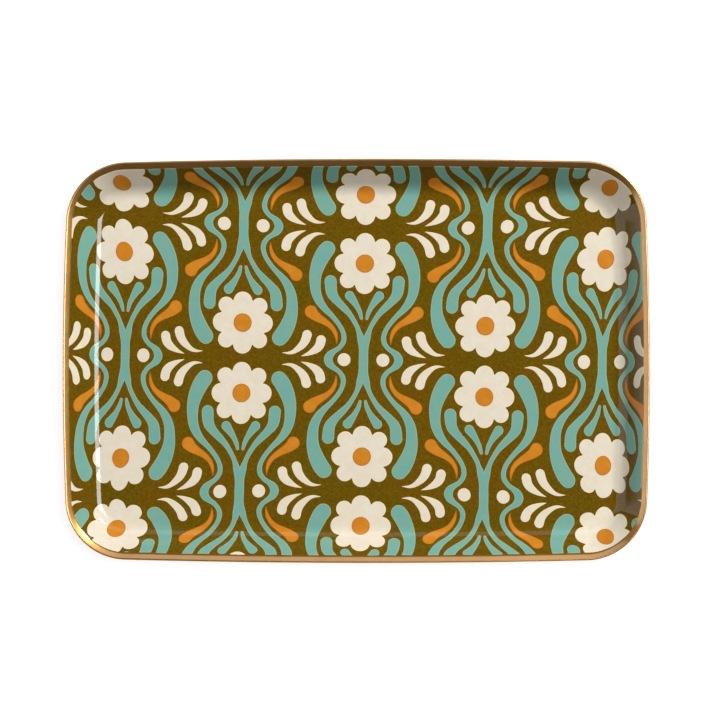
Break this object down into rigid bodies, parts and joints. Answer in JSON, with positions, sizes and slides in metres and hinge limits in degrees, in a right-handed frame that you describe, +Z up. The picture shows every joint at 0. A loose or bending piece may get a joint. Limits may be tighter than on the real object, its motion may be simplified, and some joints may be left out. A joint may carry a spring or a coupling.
{
  "type": "painted serving tray",
  "caption": "Shallow rectangular pressed-metal tray with round corners, sloping walls, a rolled gilded rim and a painted inside with a repeating daisy and scroll pattern.",
  "frame": {"origin": "centre of the tray in plan, on the plane that its four felt pads stand on", "axes": "+Z up, square to the tray's floor; +X along the length; +Y along the width"},
  "size_m": [0.305, 0.21, 0.0151],
  "materials": {
    "gilt_steel": "satin gold lacquer, hand-rubbed",
    "steel_wire": "drawn",
    "olive_enamel": "glossy baked enamel",
    "teal_paint": "glossy",
    "orange_paint": "glossy",
    "cream_paint": "glossy",
    "felt": "matt pressed felt"
  },
  "bodies": {
    "root": {"pan": "gilt_steel", "rim_wire": "steel_wire", "ground_enamel": "olive_enamel", "teal_stems": "teal_paint", "teal_scrolls": "teal_paint", "teal_drops": "teal_paint", "orange_leaves": "orange_paint", "cream_plumes": "cream_paint", "cream_dots": "cream_paint", "daisy_petals": "cream_paint", "daisy_centres": "orange_paint", "felt_pad_front_left": "felt", "felt_pad_front_right": "felt", "felt_pad_back_left": "felt", "felt_pad_back_right": "felt"}
  },
  "joints": []
}
